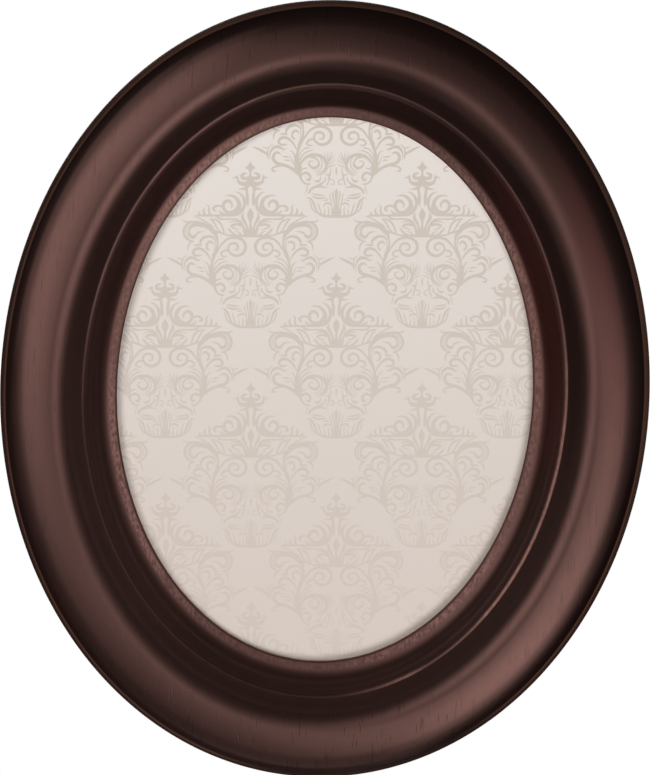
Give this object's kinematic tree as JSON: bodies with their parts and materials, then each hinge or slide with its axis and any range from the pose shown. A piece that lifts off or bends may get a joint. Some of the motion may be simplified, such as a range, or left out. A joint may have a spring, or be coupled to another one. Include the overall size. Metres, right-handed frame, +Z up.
{
  "type": "oval picture frame",
  "caption": "Oval wall picture frame: a moulded dark hardwood ring with a glazed rebate, turn clips behind and hanging rings for upright or sideways use.",
  "frame": {"origin": "the point of the wall where the upper hanging ring bears on its nail", "axes": "+Z up the wall, the oval's long axis; +Y into the wall, the front of the frame faces -Y; +X to the viewer's right"},
  "size_m": [0.271, 0.0298, 0.3255],
  "materials": {
    "mahogany_wood": "satin dark mahogany stain, open pores",
    "glass": "clear polished",
    "printed_paper": "matt, printed with a pale damask",
    "grey_card": "matt",
    "hardboard": "smooth pressed fibreboard",
    "spring_steel": "zinc plated",
    "zinc_screw": "zinc plated",
    "brassed_steel": "brass plated",
    "steel_wire": "brass plated wire",
    "felt": "brown felt"
  },
  "bodies": {
    "frame": {"moulding": "mahogany_wood", "glass_pane": "glass", "picture_print": "printed_paper", "backing_card": "grey_card", "back_panel": "hardboard", "clip_screws": "zinc_screw", "hanger_strap_top": "brassed_steel", "hanger_strap_side": "brassed_steel", "hanger_screws": "zinc_screw", "felt_pad_left": "felt", "felt_pad_right": "felt"},
    "clip_1": {"turn_clip_1": "spring_steel"},
    "clip_2": {"turn_clip_2": "spring_steel"},
    "clip_3": {"turn_clip_3": "spring_steel"},
    "clip_4": {"turn_clip_4": "spring_steel"},
    "clip_5": {"turn_clip_5": "spring_steel"},
    "clip_6": {"turn_clip_6": "spring_steel"},
    "ring_top": {"hanger_ring_top": "steel_wire"},
    "ring_side": {"hanger_ring_side": "steel_wire"}
  },
  "joints": [
    {"name": "clip_1_turn", "type": "hinge", "parent": "frame", "child": "clip_1", "pos_m": [0.07146, -0.0035, -0.06539], "axis": [0, 1, 0], "continuous": true},
    {"name": "clip_2_turn", "type": "hinge", "parent": "frame", "child": "clip_2", "pos_m": [-0.07146, -0.0035, -0.06539], "axis": [0, 1, 0], "continuous": true},
    {"name": "clip_3_turn", "type": "hinge", "parent": "frame", "child": "clip_3", "pos_m": [-0.0995, -0.0035, -0.15375], "axis": [0, 1, 0], "continuous": true},
    {"name": "clip_4_turn", "type": "hinge", "parent": "frame", "child": "clip_4", "pos_m": [-0.07146, -0.0035, -0.24211], "axis": [0, 1, 0], "continuous": true},
    {"name": "clip_5_turn", "type": "hinge", "parent": "frame", "child": "clip_5", "pos_m": [0, -0.0035, -0.2805], "axis": [0, 1, 0], "continuous": true},
    {"name": "clip_6_turn", "type": "hinge", "parent": "frame", "child": "clip_6", "pos_m": [0.07146, -0.0035, -0.24211], "axis": [0, 1, 0], "continuous": true},
    {"name": "ring_top_swing", "type": "hinge", "parent": "frame", "child": "ring_top", "pos_m": [0, -0.00202, -0.0108], "axis": [-1, 0, 0], "range_deg": [0, 168]},
    {"name": "ring_side_swing", "type": "hinge", "parent": "frame", "child": "ring_side", "pos_m": [0.1157, -0.00202, -0.15375], "axis": [0, 0, 1], "range_deg": [0, 168]}
  ]
}
